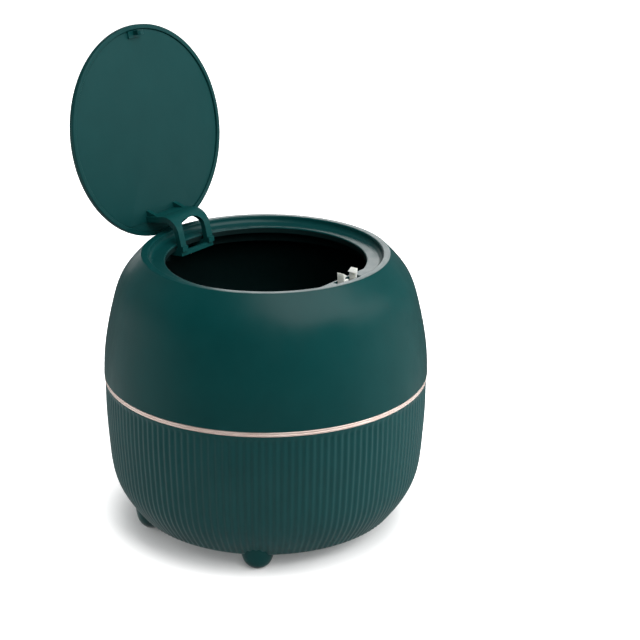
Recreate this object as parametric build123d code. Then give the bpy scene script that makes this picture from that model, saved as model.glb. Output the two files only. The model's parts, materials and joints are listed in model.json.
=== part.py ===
from build123d import *
import math
import os

# A round countertop bin in two halves, with a sprung lid held shut by a push latch.
# Millimetres, +Z up. The origin is on the bin's axis at the surface it stands on.
# The hinge is on the +Y side and the latch on the -Y side. The lid is modelled shut, then swung open.

os.makedirs("parts", exist_ok=True)

# Body
body_diameter = 170.0
bottom_inset = 16.2
rim_inset = 20.7
foot_height = 8.5
bucket_height = 73.0
band_height = 2.4
shell_height = 64.6
wall = 2.2
floor_thickness = 2.4
# Share of a shell's height, and share of its change of radius reached there
bucket_bulge = ((0.254, 0.73), (0.508, 0.92), (0.762, 0.99))
shell_bulge = ((0.186, 0.03), (0.389, 0.123), (0.593, 0.264), (0.796, 0.482))
seam_chamfer = 0.4

# Feet
foot_count = 4
foot_angle = 35.0
foot_inset = 5.8
foot_tip_radius = 4.2
foot_shank_radius = 8.5
foot_root_radius = 9.3
pad_radius = 3.2
pad_thickness = 1.2
pad_stand_out = 0.4

# Joint between the halves
spigot_setback = 2.9
spigot_wall = 1.8
spigot_height = 7.0
spigot_clearance = 0.4
band_setback = 0.5
band_groove = 0.35

# Seat of the lid
lip_width = 3.4
lip_round = 1.0
recess_depth = 3.7
recess_wall_depth = 5.2
ledge_width = 8.8
ledge_thickness = 1.8
cove_round = 2.7
cove_land = 0.3
mouth_round = 0.6
seat_clearance = 0.15
collar_depth = 3.2
collar_wall = 2.0
skirt_wall = 2.2
flange_thickness = 2.0
flange_drop = 6.0
flange_clearance = 1.4

# Screws that hold the seat ring
seat_screw_count = 4
seat_screw_inset = 3.6
seat_boss_radius = 3.2
seat_screw_core_radius = 1.25
seat_screw_head_radius = 2.7
seat_screw_head_height = 1.8
seat_screw_length = 7.5
screw_hole_clearance = 0.35
pilot_clearance = 0.05

# Lid
lid_inset = 4.9
lid_thickness = 3.2
lid_gap = 0.3
lid_edge_round = 0.8
cover_skin = 1.0
cover_rim_width = 2.4
panel_sink = 0.8
panel_clearance = 0.2
fold_inset = 9.0
rim_fold_angle = 12.0
panel_fold_angle = 5.0
panel_fold_step = 0.4

# Hinge
hinge_outset = 1.2
hinge_below_ledge = 5.5
lid_open_angle = 100.6
pin_radius = 1.5
pin_clearance = 0.06
pin_head_radius = 2.5
pin_head_thickness = 1.0
retainer_radius = 2.6
retainer_thickness = 1.0
retainer_gap = 0.2
leg_boss_radius = 3.4
arm_pitch = 21.0
arm_width = 4.2
arm_thickness = 2.9
plate_thickness = 3.0
plate_to_pin = 18.0
knee_drop = 20.3
knee_round = 10.0
arm_end_outset = 0.8
arm_end_drop = 21.6
arm_foot_height = 0.7
arm_foot_length = 2.8
leg_thickness = 4.0
leg_end_outset = 1.2
cross_bar_depth = 2.3
cross_bar_setback = 0.6
window_round = 5.0
gusset_width = 2.2
gusset_length = 3.1
gusset_drop = 7.0
lug_thickness = 3.0
lug_gap = 0.5
lug_collar_gap = 0.5
lug_outset = 3.1
arm_swing_clearance = 0.33
slot_clearance = 0.4

# Hinge spring
spring_wire_radius = 0.4
spring_coil_clearance = 0.25
spring_turns = 7
spring_pitch = 0.95
spring_leg_gap = 0.3
spring_leg_setback = 1.5

# Screws between the lid's skins and the bracket
bracket_screw_pitch = 10.0
bracket_screw_radius = 0.9
bracket_screw_length = 8.0
bracket_screw_head_radius = 1.8
bracket_screw_head_height = 0.9

# Push latch
latch_outset = 0.4
platform_inset = 2.9
jaw_depth = 4.0
jaw_splay = 9.0
jaw_pivot_x = 4.0
jaw_pivot_drop = 7.3
jaw_boss_radius = 1.5
jaw_root_depth = 1.9
jaw_pin_radius = 0.6
jaw_pin_clearance = 0.05
jaw_tip = (5.9, 4.8)
jaw_nose = (2.9, 3.15)
jaw_hollow_x = 4.3
slider_width = 12.6
slider_depth = 4.4
slider_bottom_drop = 16.3
slider_block_drop = 9.2
cheek_drop = 5.5
cheek_front = 0.9
cheek_back = 1.2
hub_width = 3.2
hub_depth = 1.4
hub_rise = -0.5
latch_travel = 6.5
guide_clearance = 0.3
housing_width = 21.2
housing_wall = 0.8
housing_back_setback = 3.9
housing_floor = 1.0
housing_end_gap = 0.5
window_width = 17.2
window_depth = 4.7
ear_length = 5.0
ear_thickness = 2.0
latch_boss_depth = 6.3
latch_screw_x = 13.4
latch_screw_setback = 1.5
latch_boss_radius = 2.1
latch_screw_radius = 0.8
latch_screw_head_radius = 1.7
latch_screw_head_height = 1.2
latch_screw_length = 6.5
track_depth = 0.7
track_half_width = 2.2
track_island_half_width = 0.85
cam_wire_radius = 0.35
cam_tip_drop = 14.4
latch_spring_radius = 1.0
latch_spring_wire_radius = 0.2
latch_spring_turns = 9
latch_spring_pocket_drop = 11.5
latch_spring_clearance = 0.2

# Striker
striker_depth = 2.5
striker_lead = 1.8
striker_neck_half = 0.9
striker_head_half = 2.3
striker_tip_half = 1.0
striker_head_height = 1.1
striker_foot_width = 9.0
striker_foot_depth = 3.8
striker_foot_height = 1.0
striker_stem_radius = 1.1
striker_clearance = 0.35

# Heights and radii that follow
body_radius = body_diameter / 2
bottom_radius = body_radius - bottom_inset
lip_radius = body_radius - rim_inset
recess_radius = lip_radius - lip_width
mouth_radius = recess_radius - ledge_width
lid_radius = recess_radius - lid_inset
foot_circle_radius = bottom_radius - foot_inset
body_bottom = foot_height
band_bottom = body_bottom + bucket_height
band_top = band_bottom + band_height
rim_top = band_top + shell_height
band_radius = body_radius - band_setback
spigot_radius = body_radius - spigot_setback
spigot_top = band_top + spigot_height
floor_top = body_bottom + floor_thickness
ledge_top = rim_top - recess_depth
ledge_bottom = ledge_top - ledge_thickness
ledge_radius = recess_radius - seat_clearance
collar_bottom = ledge_top - collar_depth
flange_top = ledge_bottom - flange_drop
flange_bottom = flange_top - flange_thickness
recess_wall_bottom = rim_top - recess_wall_depth
skirt_radius = ledge_radius - skirt_wall
lid_face_z = ledge_top + lid_gap
fold_distance = lid_radius - fold_inset
hinge_y = recess_radius + hinge_outset
hinge_z = ledge_top - hinge_below_ledge
hinge_drop = lid_face_z - hinge_z
arm_outer_x = (arm_pitch + arm_width) / 2
arm_inner_x = (arm_pitch - arm_width) / 2
lug_inner_x = arm_outer_x + lug_gap
lug_outer_x = lug_inner_x + lug_thickness
lug_inner_y = mouth_radius + collar_wall + lug_collar_gap
lug_outer_y = hinge_y + lug_outset
plate_face_y = hinge_y - plate_to_pin
arm_end_y = hinge_y + arm_end_outset
leg_end_y = hinge_y + leg_end_outset
latch_y = -mouth_radius - latch_outset
platform_y = -mouth_radius + platform_inset
housing_back_y = latch_y - housing_back_setback
latch_screw_y = latch_y - latch_screw_setback
striker_inner_y = latch_y + striker_lead
striker_y = striker_inner_y - striker_depth / 2


def save(name, shape):
    """Write one node as a STEP file."""
    export_step(shape, f"parts/{name}.step")


def block(x, y, z):
    """Box from three (low, high) pairs."""
    size = [high - low for low, high in (x, y, z)]
    middle = [(high + low) / 2 for low, high in (x, y, z)]
    return Pos(*middle) * Box(*size)


def rod(radius, low, high, x=0.0, y=0.0):
    """Upright cylinder between two heights."""
    return Pos(x, y, (low + high) / 2) * Cylinder(radius, high - low)


def tube(inner, outer, low, high):
    """Upright ring about the bin's axis."""
    return rod(outer, low, high) - rod(inner, low - 1, high + 1)


def axle(radius, low, high, y, z):
    """Cylinder along X."""
    return Pos((low + high) / 2, y, z) * Rot(0, 90, 0) * Cylinder(radius, high - low)


def cross_rod(radius, low, high, x, z):
    """Cylinder along Y."""
    return Pos(x, (low + high) / 2, z) * Rot(90, 0, 0) * Cylinder(radius, high - low)


def strut(radius, start, end):
    """Round wire between two points, with round ends."""
    line = Line(start, end)
    wire = sweep(Plane(origin=start, z_dir=line % 0) * Circle(radius), path=line)
    return wire + Pos(*start) * Sphere(radius) + Pos(*end) * Sphere(radius)


def side_plate(points, low, high):
    """Outline of (y, z) points, thick along X from low to high."""
    outline = make_face(Polyline(*[(0, y, z) for y, z in points], close=True))
    return Pos(low, 0, 0) * extrude(outline, high - low, dir=(1, 0, 0))


def front_plate(points, low, high):
    """Outline of (x, z) points, thick along Y from low to high."""
    outline = make_face(Polyline(*[(x, 0, z) for x, z in points], close=True))
    return Pos(0, low, 0) * extrude(outline, high - low, dir=(0, 1, 0))


def both_sides(shape):
    """A shape and its mirror image across the YZ plane."""
    return [shape, mirror(shape, about=Plane.YZ)]


def swelling(low, high, shares):
    """Curve from one (radius, height) to another that bulges by the given shares."""
    rise = high[1] - low[1]
    change = high[0] - low[0]
    between = [(low[0] + change * out, low[1] + rise * up) for up, out in shares]
    return Spline(*[(r, 0, z) for r, z in [low, *between, high]])


def inset_point(curve, depth, share):
    """Point inside a shell's outer curve by depth, as (radius, height)."""
    place = curve @ share
    along = curve % share
    return place.X - along.Z * depth, place.Z + along.X * depth


def share_at(curve, depth, height):
    """Share along the curve at which its inset reaches a height."""
    low, high = 0.0, 1.0
    for _ in range(40):
        middle = (low + high) / 2
        if inset_point(curve, depth, middle)[1] < height:
            low = middle
        else:
            high = middle
    return (low + high) / 2


def inset_curve(curve, depth, low, high, points=9):
    """Curve inside another by depth, between two heights."""
    start = share_at(curve, depth, low)
    end = share_at(curve, depth, high)
    shares = [start + (end - start) * k / (points - 1) for k in range(points)]
    places = [inset_point(curve, depth, share) for share in shares]
    return Spline(*[(r, 0, z) for r, z in places])


def inset_radius(curve, depth, height):
    """Radius of the inset curve at a height."""
    return inset_point(curve, depth, share_at(curve, depth, height))[0]


def turned(curve, corners):
    """Solid turned about Z from a curve closed by corners, which run from its end back to its start."""
    ends = [tuple(curve @ 1), *[(r, 0, z) for r, z in corners], tuple(curve @ 0)]
    return revolve(make_face(Wire([curve, *Polyline(*ends).edges()])), Axis.Z)


def shut_to_open(shape):
    """Swing a lid piece from shut to fully open about the hinge pin."""
    hinge = Axis((0, hinge_y, hinge_z), (1, 0, 0))
    return shape.rotate(hinge, -lid_open_angle)


bucket_curve = swelling(
    (bottom_radius, body_bottom),
    (band_radius, band_bottom - seam_chamfer),
    bucket_bulge,
)
shell_curve = swelling((body_radius, band_top + seam_chamfer), (lip_radius, rim_top), shell_bulge)


# Lower half
def foot_places():
    """Centres of the four feet, two on each side of the latch-hinge line."""
    angles = [foot_angle, 180 - foot_angle, 180 + foot_angle, -foot_angle]
    radians = [math.radians(a) for a in angles[:foot_count]]
    return [(foot_circle_radius * math.cos(a), foot_circle_radius * math.sin(a)) for a in radians]


def make_foot():
    """Rounded stub, narrow at the tip and flared into the body."""
    root = body_bottom + 5.0
    side = Spline(
        (foot_tip_radius, 0, pad_stand_out),
        (foot_tip_radius + 2.1, 0, pad_stand_out + 1.9),
        (foot_shank_radius, 0, body_bottom - 0.4),
        (foot_root_radius, 0, root),
    )
    return turned(side, [(0, root), (0, pad_stand_out)])


def make_lower_bucket():
    shoulder = (band_radius - seam_chamfer, band_bottom)
    body = turned(bucket_curve, [shoulder, (0, band_bottom), (0, body_bottom)])
    body += rod(spigot_radius, band_bottom - 1, spigot_top)
    for x, y in foot_places():
        body += Pos(x, y, 0) * make_foot()
    # The wall thickens inwards below the seam to carry the spigot.
    bore = spigot_radius - spigot_wall
    wall_top = band_bottom - 6.0
    bore_bottom = wall_top + inset_radius(bucket_curve, wall, wall_top) - bore
    inside = inset_curve(bucket_curve, wall, floor_top, wall_top)
    body -= turned(inside, [(bore, bore_bottom), (bore, spigot_top + 1), (0, spigot_top + 1), (0, floor_top)])
    pad_seat = pad_radius + pilot_clearance
    for x, y in foot_places():
        body -= rod(pad_seat, 0, pad_thickness, x, y)
    return body


def make_foot_pads():
    return Compound(children=[rod(pad_radius, 0, pad_thickness, x, y) for x, y in foot_places()])


def make_trim_ring():
    """Bright band with two crests and a shallow groove between them."""
    inner = spigot_radius + pilot_clearance
    quarter = band_height / 4
    outer = Polyline(
        (band_radius - band_groove, 0, band_bottom),
        (band_radius, 0, band_bottom + quarter / 2),
        (band_radius, 0, band_bottom + quarter * 1.6),
        (band_radius - band_groove, 0, band_bottom + quarter * 2),
        (band_radius, 0, band_bottom + quarter * 2.4),
        (band_radius, 0, band_top - quarter / 2),
        (band_radius - band_groove, 0, band_top),
        (inner, 0, band_top),
        (inner, 0, band_bottom),
        close=True,
    )
    return revolve(make_face(outer), Axis.Z)


# Upper half
def seat_screw_places():
    radius = recess_radius + wall + seat_screw_inset
    step = 2 * math.pi / seat_screw_count
    return [
        (radius * math.cos(step * (k + 0.5)), radius * math.sin(step * (k + 0.5)))
        for k in range(seat_screw_count)
    ]


def make_upper_shell():
    seam = (body_radius - seam_chamfer, band_top)
    solid = turned(shell_curve, [(0, rim_top), (0, band_top), seam])
    bore = spigot_radius + spigot_clearance
    bore_top = spigot_top + 1.0
    recess_wall = recess_radius + wall
    # The inside follows the dome up to where the recess wall hangs from the rim.
    inside_top = rim_top - wall * 0.75
    inside = inset_curve(shell_curve, wall, bore_top + 2.0, inside_top)
    spigot_room = [(0, band_top - 1), (bore, band_top - 1), (bore, bore_top)]
    hollow = turned(inside, [(recess_wall, inside_top), (0, inside_top), *spigot_room])
    shell = solid - hollow
    shell += tube(recess_radius, recess_wall, recess_wall_bottom, rim_top - lip_round) & solid
    bosses = [rod(seat_boss_radius, flange_top, rim_top, x, y) & solid for x, y in seat_screw_places()]
    for boss in bosses:
        shell += boss
    shell -= rod(recess_radius, band_top - 1, rim_top + 1)
    lip_edge = shell.edges().filter_by(GeomType.CIRCLE).group_by(Axis.Z)[-1].sort_by(SortBy.RADIUS)[0]
    shell = fillet(lip_edge, lip_round)
    pilot = seat_screw_core_radius + pilot_clearance
    for x, y in seat_screw_places():
        shell -= rod(pilot, flange_top - 1, flange_bottom + seat_screw_length + 1, x, y)
    return shell


def seat_section():
    """Half section of the seat ring: collar, ledge, cove up to the lip, skirt and flange."""
    flange_radius = inset_radius(shell_curve, wall, flange_bottom) - flange_clearance
    cove_foot = (ledge_radius - cove_land, ledge_top)
    mouth_edge = (mouth_radius, ledge_top)
    corners = [
        (mouth_radius, collar_bottom),
        mouth_edge,
        cove_foot,
        (ledge_radius - cove_land, ledge_top + cove_round + 0.1),
        (ledge_radius, ledge_top + cove_round + 0.1),
        (ledge_radius, flange_top),
        (flange_radius, flange_top),
        (flange_radius, flange_bottom),
        (skirt_radius, flange_bottom),
        (skirt_radius, ledge_bottom),
        (mouth_radius + collar_wall, ledge_bottom),
        (mouth_radius + collar_wall, collar_bottom),
    ]
    section = make_face(Polyline(*[(r, 0, z) for r, z in corners], close=True))
    for (r, z), radius in ((cove_foot, cove_round), (mouth_edge, mouth_round)):
        section = fillet(section.vertices().sort_by_distance((r, 0, z))[0], radius)
    return section


def make_seat_ring():
    ring = revolve(seat_section(), Axis.Z)
    # Flat platform for the latch, with a wall along its chord
    mouth = rod(mouth_radius + mouth_round + 0.2, collar_bottom, ledge_top)
    chord_wall = housing_wall + 0.2
    reach = (-mouth_radius, mouth_radius)
    ring += block(reach, (-mouth_radius - 1, platform_y), (ledge_bottom, ledge_top)) & mouth
    ring += block(reach, (platform_y - chord_wall, platform_y), (collar_bottom, ledge_top)) & mouth
    for boss in both_sides(
        rod(latch_boss_radius, ledge_bottom - latch_boss_depth, ledge_top, latch_screw_x, latch_screw_y)
    ):
        ring += boss
    # Room for the latch cartridge below the platform, and the window its jaws stand in
    side = housing_width / 2 + slot_clearance
    ring -= block((-side, side), (housing_back_y - 0.4, platform_y + 1), (flange_bottom - 1, ledge_bottom))
    half = window_width / 2
    window_y = (latch_y - window_depth / 2, latch_y + window_depth / 2)
    ring -= block((-half, half), window_y, (ledge_bottom - 1, ledge_top + 1))
    for pilot in both_sides(
        rod(
            latch_screw_radius + pilot_clearance,
            ledge_bottom - latch_boss_depth - 1,
            ledge_bottom - latch_boss_depth - ear_thickness + latch_screw_length + 0.5,
            latch_screw_x,
            latch_screw_y,
        )
    ):
        ring -= pilot
    ring -= hinge_room()
    # Lugs that hold the hinge pin
    lug = block(
        (lug_inner_x, lug_outer_x),
        (lug_inner_y, lug_outer_y),
        (hinge_z - leg_boss_radius - 0.6, ledge_bottom + 0.2),
    )
    lug &= turned(
        inset_curve(shell_curve, wall + seat_clearance, flange_bottom - 4, ledge_bottom + 2),
        [(0, ledge_bottom + 2), (0, flange_bottom - 4)],
    )
    lug -= tube(ledge_radius, body_radius, ledge_bottom, ledge_top)
    for ear in both_sides(lug):
        ring += ear
    ring -= axle(pin_radius, -lug_outer_x - 1, lug_outer_x + 1, hinge_y, hinge_z)
    hole = seat_screw_core_radius + screw_hole_clearance
    for x, y in seat_screw_places():
        ring -= rod(hole, flange_bottom - 1, flange_top + 1, x, y)
    return ring


def hinge_room():
    """What the seat ring leaves open for the bracket, the pin's ends and the spring."""
    low, high = flange_bottom - 1, ledge_bottom
    inner_wall = mouth_radius - 4
    outer_wall = body_radius
    arm_span = (arm_inner_x - slot_clearance, arm_outer_x + slot_clearance)
    end_span = (lug_outer_x, lug_outer_x + pin_head_thickness + retainer_gap + 2.4)
    pin_span = hinge_y - retainer_radius - 0.7
    swing = arm_clearance_radius()
    room = block((-lug_inner_x, lug_inner_x), (mouth_radius + collar_wall + 1, outer_wall), (low, high))
    for piece in (
        block(arm_span, (inner_wall, mouth_radius + collar_wall + 1), (low, high)),
        block(end_span, (pin_span, outer_wall), (low, high)),
        block(arm_span, (inner_wall, hinge_y), (low, ledge_top + 1))
        - axle(swing, arm_span[0] - 1, arm_span[1] + 1, hinge_y, hinge_z),
    ):
        for copy in both_sides(piece):
            room += copy
    return room


def arm_slope():
    return (arm_end_drop - knee_drop) / (arm_end_y - plate_face_y)


def arm_clearance_radius():
    """Radius about the pin that the arms' inner faces stay outside of, less their clearance."""
    drop_at_pin = knee_drop + arm_slope() * (hinge_y - plate_face_y) - hinge_drop
    return drop_at_pin * math.cos(math.atan(arm_slope())) - arm_thickness - arm_swing_clearance


def make_seat_ring_screws():
    screws = []
    for x, y in seat_screw_places():
        core = rod(seat_screw_core_radius, flange_bottom, flange_bottom + seat_screw_length, x, y)
        head = rod(seat_screw_head_radius, flange_bottom - seat_screw_head_height, flange_bottom, x, y)
        slot = block(
            (x - seat_screw_head_radius, x + seat_screw_head_radius),
            (y - 0.35, y + 0.35),
            (flange_bottom - seat_screw_head_height - 1, flange_bottom - seat_screw_head_height + 0.8),
        )
        screws.append(core + head - slot)
    return Compound(children=screws)


# Lid, shut: the hinge is towards +Y and depth below the lid's face is "drop"
def fold_cut(rise_at_fold, angle):
    """Wedge that slopes the lid's underside away from a chord near the hinge."""
    reach = lid_radius + 10
    rise = (reach - fold_distance) * math.tan(math.radians(angle))
    face = lid_face_z + rise_at_fold
    return side_plate(
        [(fold_distance, face - 2), (fold_distance, face), (reach, face + rise), (reach, face - 2)],
        -lid_radius,
        lid_radius,
    )


def make_lid_cover():
    top = lid_face_z + lid_thickness
    cover = rod(lid_radius, lid_face_z, top)
    cover = fillet(cover.edges().sort_by(Axis.Z)[-1], lid_edge_round)
    cover -= rod(lid_radius - cover_rim_width, lid_face_z - 1, top - cover_skin)
    return cover - fold_cut(0, rim_fold_angle)


def panel_radius():
    return lid_radius - cover_rim_width - panel_clearance


def make_lid_inner_panel():
    panel_top = lid_face_z + lid_thickness - cover_skin
    panel = rod(panel_radius(), lid_face_z + panel_sink, panel_top)
    panel -= fold_cut(panel_sink + panel_fold_step, panel_fold_angle)
    for x, y in bracket_screw_places():
        panel -= bracket_screw(x, y, pilot_clearance)
    panel -= rod(striker_stem_radius + pilot_clearance, lid_face_z, panel_top + 1, 0, striker_y)
    return panel


def bracket_screw_places():
    half = bracket_screw_pitch / 2
    y = plate_face_y + plate_thickness / 2
    return [(-half, y), (half, y)]


def bracket_screw(x, y, clearance):
    """Countersunk screw whose flat head is flush with the back of the inner panel."""
    top = lid_face_z + lid_thickness - cover_skin
    head_bottom = top - bracket_screw_head_height
    shank = rod(bracket_screw_radius + clearance, top - bracket_screw_length, top, x, y)
    cone = Pos(x, y, (top + head_bottom) / 2) * Cone(
        bracket_screw_radius + clearance,
        bracket_screw_head_radius + clearance,
        bracket_screw_head_height,
    )
    return shank + cone


def make_bracket_screws():
    first, second = [bracket_screw(x, y, 0) for x, y in bracket_screw_places()]
    return first + second


def make_hinge_bracket():
    face = lid_face_z + panel_sink
    slope = arm_slope()
    thick = arm_thickness / math.cos(math.atan(slope))
    inner_y = plate_face_y + plate_thickness
    leg_inner_y = leg_end_y - leg_thickness / 2
    leg_outer_y = leg_end_y + leg_thickness / 2
    bar_drop = arm_end_drop - cross_bar_setback

    def under(y):
        return lid_face_z - knee_drop - slope * (y - plate_face_y)

    profile = [
        (plate_face_y, face),
        (plate_face_y, lid_face_z - knee_drop),
        (arm_end_y, lid_face_z - arm_end_drop),
        (arm_end_y, lid_face_z - bar_drop),
        (leg_outer_y, lid_face_z - bar_drop),
        (hinge_y + leg_thickness / 2, hinge_z),
        (hinge_y - leg_thickness / 2, hinge_z),
        (leg_inner_y, under(leg_inner_y) + thick),
        (inner_y, under(inner_y) + thick),
        (inner_y, face),
    ]
    bracket = side_plate(profile, -arm_outer_x, arm_outer_x)
    for y, z, radius in (
        (plate_face_y, lid_face_z - knee_drop, knee_round),
        (inner_y, under(inner_y) + thick, knee_round - plate_thickness),
    ):
        knee = bracket.edges().filter_by(Axis.X).sort_by_distance((0, y, z))[0]
        bracket = fillet(knee, radius)
    # The window runs through the arms' front, and the space behind it is open down to the pin.
    bar_top = lid_face_z - bar_drop + cross_bar_depth
    window = block(
        (-arm_inner_x, arm_inner_x),
        (inner_y, arm_end_y),
        (lid_face_z - arm_end_drop - 3, hinge_z + leg_boss_radius + 5),
    )
    corners = window.edges().filter_by(Axis.Z).group_by(Axis.Y)[0]
    window = fillet(corners, window_round)
    behind = block(
        (-arm_inner_x, arm_inner_x),
        (inner_y + window_round, leg_outer_y + leg_boss_radius),
        (bar_top, hinge_z + leg_boss_radius + 5),
    )
    bracket = bracket - window - behind
    boss_inner = arm_inner_x
    for boss in both_sides(axle(leg_boss_radius, boss_inner, arm_outer_x, hinge_y, hinge_z)):
        bracket += boss
    foot = block(
        (arm_inner_x, arm_outer_x),
        (arm_end_y - arm_foot_length, arm_end_y),
        (lid_face_z - arm_end_drop - arm_foot_height, lid_face_z - arm_end_drop + arm_thickness / 2),
    )
    gusset = side_plate(
        [(plate_face_y, face), (plate_face_y, face - gusset_drop), (plate_face_y - gusset_length, face)],
        (arm_pitch - gusset_width) / 2,
        (arm_pitch + gusset_width) / 2,
    )
    for copy in [*both_sides(foot), *both_sides(gusset)]:
        bracket += copy
    bracket -= axle(pin_radius + pin_clearance, -arm_outer_x - 1, arm_outer_x + 1, hinge_y, hinge_z)
    for x, y in bracket_screw_places():
        bracket -= bracket_screw(x, y, pilot_clearance)
    return bracket


def striker_shoulder():
    """Height of the striker's hook when the lid is shut, under the closed jaws' noses."""
    return closed_jaw_point(jaw_hollow_x, jaw_nose[1] - 0.55)[1] - striker_clearance


def make_striker():
    face = lid_face_z + panel_sink
    foot_bottom = face - striker_foot_height
    shoulder = striker_shoulder()
    tip = shoulder - striker_head_height
    outline = [
        (-striker_neck_half, foot_bottom + 0.2),
        (-striker_neck_half, shoulder),
        (-striker_head_half, shoulder),
        (-striker_tip_half, tip),
        (striker_tip_half, tip),
        (striker_head_half, shoulder),
        (striker_neck_half, shoulder),
        (striker_neck_half, foot_bottom + 0.2),
    ]
    striker = front_plate(outline, striker_inner_y - striker_depth, striker_inner_y)
    half = striker_foot_width / 2
    foot_y = (striker_y - striker_depth / 2, striker_y - striker_depth / 2 + striker_foot_depth)
    striker += block((-half, half), foot_y, (foot_bottom, face))
    panel_top = lid_face_z + lid_thickness - cover_skin
    striker += rod(striker_stem_radius, foot_bottom, panel_top, 0, striker_y)
    return striker


# Hinge pin, its retainer and the spring
def make_hinge_pin():
    far_end = lug_outer_x + retainer_gap + retainer_thickness + 0.5
    shaft = axle(pin_radius, -lug_outer_x, far_end, hinge_y, hinge_z)
    head = axle(pin_head_radius, -lug_outer_x - pin_head_thickness, -lug_outer_x, hinge_y, hinge_z)
    return shaft + head


def make_pin_retainer():
    start = lug_outer_x + retainer_gap
    end = start + retainer_thickness
    washer = axle(retainer_radius, start, end, hinge_y, hinge_z)
    return washer - axle(pin_radius + 0.02, start - 1, end + 1, hinge_y, hinge_z)


def spring_length():
    return spring_turns * spring_pitch


def coil_radius():
    return pin_radius + spring_coil_clearance + spring_wire_radius


def coil(radius, wire, pitch, turns):
    """Round wire wound up the Z axis from (radius, 0, 0)."""
    path = Helix(pitch=pitch, height=pitch * turns, radius=radius)
    section = Plane(origin=path @ 0, z_dir=path % 0) * Circle(wire)
    return sweep(section, path=path, is_frenet=True)


def make_hinge_spring():
    """Torsion spring on the pin: one leg under the bracket's cross bar, one against the dome."""
    radius = coil_radius()
    winding = coil(radius, spring_wire_radius, spring_pitch, spring_turns)
    # Turned so that the axis lies along X and both ends come off the underside of the coil
    winding = Rot(0, 90, 0) * winding
    half = spring_length() / 2
    winding = Pos(-half, hinge_y, hinge_z) * winding
    low = hinge_z - radius
    bar_rise = 0.6
    front_y = plate_face_y + plate_thickness + spring_leg_setback
    # The legs are a touch thinner than the coil, so each starts inside the coil's end.
    leg_radius = spring_wire_radius * 0.93
    front = strut(leg_radius, (-half, hinge_y, low), (-half, front_y, low + bar_rise))
    wall_y = inset_radius(shell_curve, wall, low + spring_wire_radius) - spring_wire_radius - spring_leg_gap
    back_y = math.sqrt(wall_y**2 - half**2)
    back = strut(leg_radius, (half, hinge_y, low), (half, back_y, low))
    return winding + front + back


# Push latch, released: the slider is up and the jaws are splayed
def latch_z(rise):
    return ledge_top + rise


def closed_jaw_point(x, rise):
    """Where a point of the right jaw goes when the latch is pressed home, as (x, height)."""
    angle = math.radians(jaw_splay)
    across = x - jaw_pivot_x
    up = rise + jaw_pivot_drop
    closed_x = jaw_pivot_x + across * math.cos(angle) - up * math.sin(angle)
    closed_up = up * math.cos(angle) + across * math.sin(angle)
    return closed_x, latch_z(closed_up - jaw_pivot_drop - latch_travel)


def slider_span():
    return latch_y - slider_depth / 2, latch_y + slider_depth / 2


def make_jaw():
    """Right-hand claw: a slanted tip, a nose that hooks the striker and a hollow below it."""
    root_top = -cheek_drop + 0.5
    outline = [
        (jaw_pivot_x - 1.1, latch_z(root_top)),
        (jaw_hollow_x, latch_z(root_top + 2.2)),
        (jaw_hollow_x, latch_z(jaw_nose[1] - 0.55)),
        (jaw_nose[0], latch_z(jaw_nose[1] - 0.15)),
        (jaw_nose[0] + 0.15, latch_z(jaw_nose[1])),
        (jaw_tip[0] - 0.25, latch_z(jaw_tip[1])),
        (jaw_tip[0], latch_z(jaw_tip[1] - 0.15)),
        (jaw_tip[0] - 0.5, latch_z(0.6)),
        (jaw_pivot_x + 1.4, latch_z(root_top)),
    ]
    claw = front_plate(outline, latch_y - jaw_depth / 2, latch_y + jaw_depth / 2)
    root_y = jaw_root_middle()
    root_span = (root_y - jaw_root_depth / 2, root_y + jaw_root_depth / 2)
    claw += block(
        (jaw_pivot_x - 1.0, jaw_pivot_x + 1.3),
        root_span,
        (latch_z(-jaw_pivot_drop), latch_z(root_top + 0.4)),
    )
    claw += cross_rod(jaw_boss_radius, *root_span, jaw_pivot_x, latch_z(-jaw_pivot_drop))
    hole = jaw_pin_radius + jaw_pin_clearance
    return claw - cross_rod(hole, root_span[0] - 1, root_span[1] + 1, jaw_pivot_x, latch_z(-jaw_pivot_drop))


def jaw_root_middle():
    low, high = slider_span()
    return (low + cheek_back + high - cheek_front) / 2


def make_jaw_pins():
    low, high = slider_span()
    pin = cross_rod(jaw_pin_radius, low, high, jaw_pivot_x, latch_z(-jaw_pivot_drop))
    return Compound(children=both_sides(pin))


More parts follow.
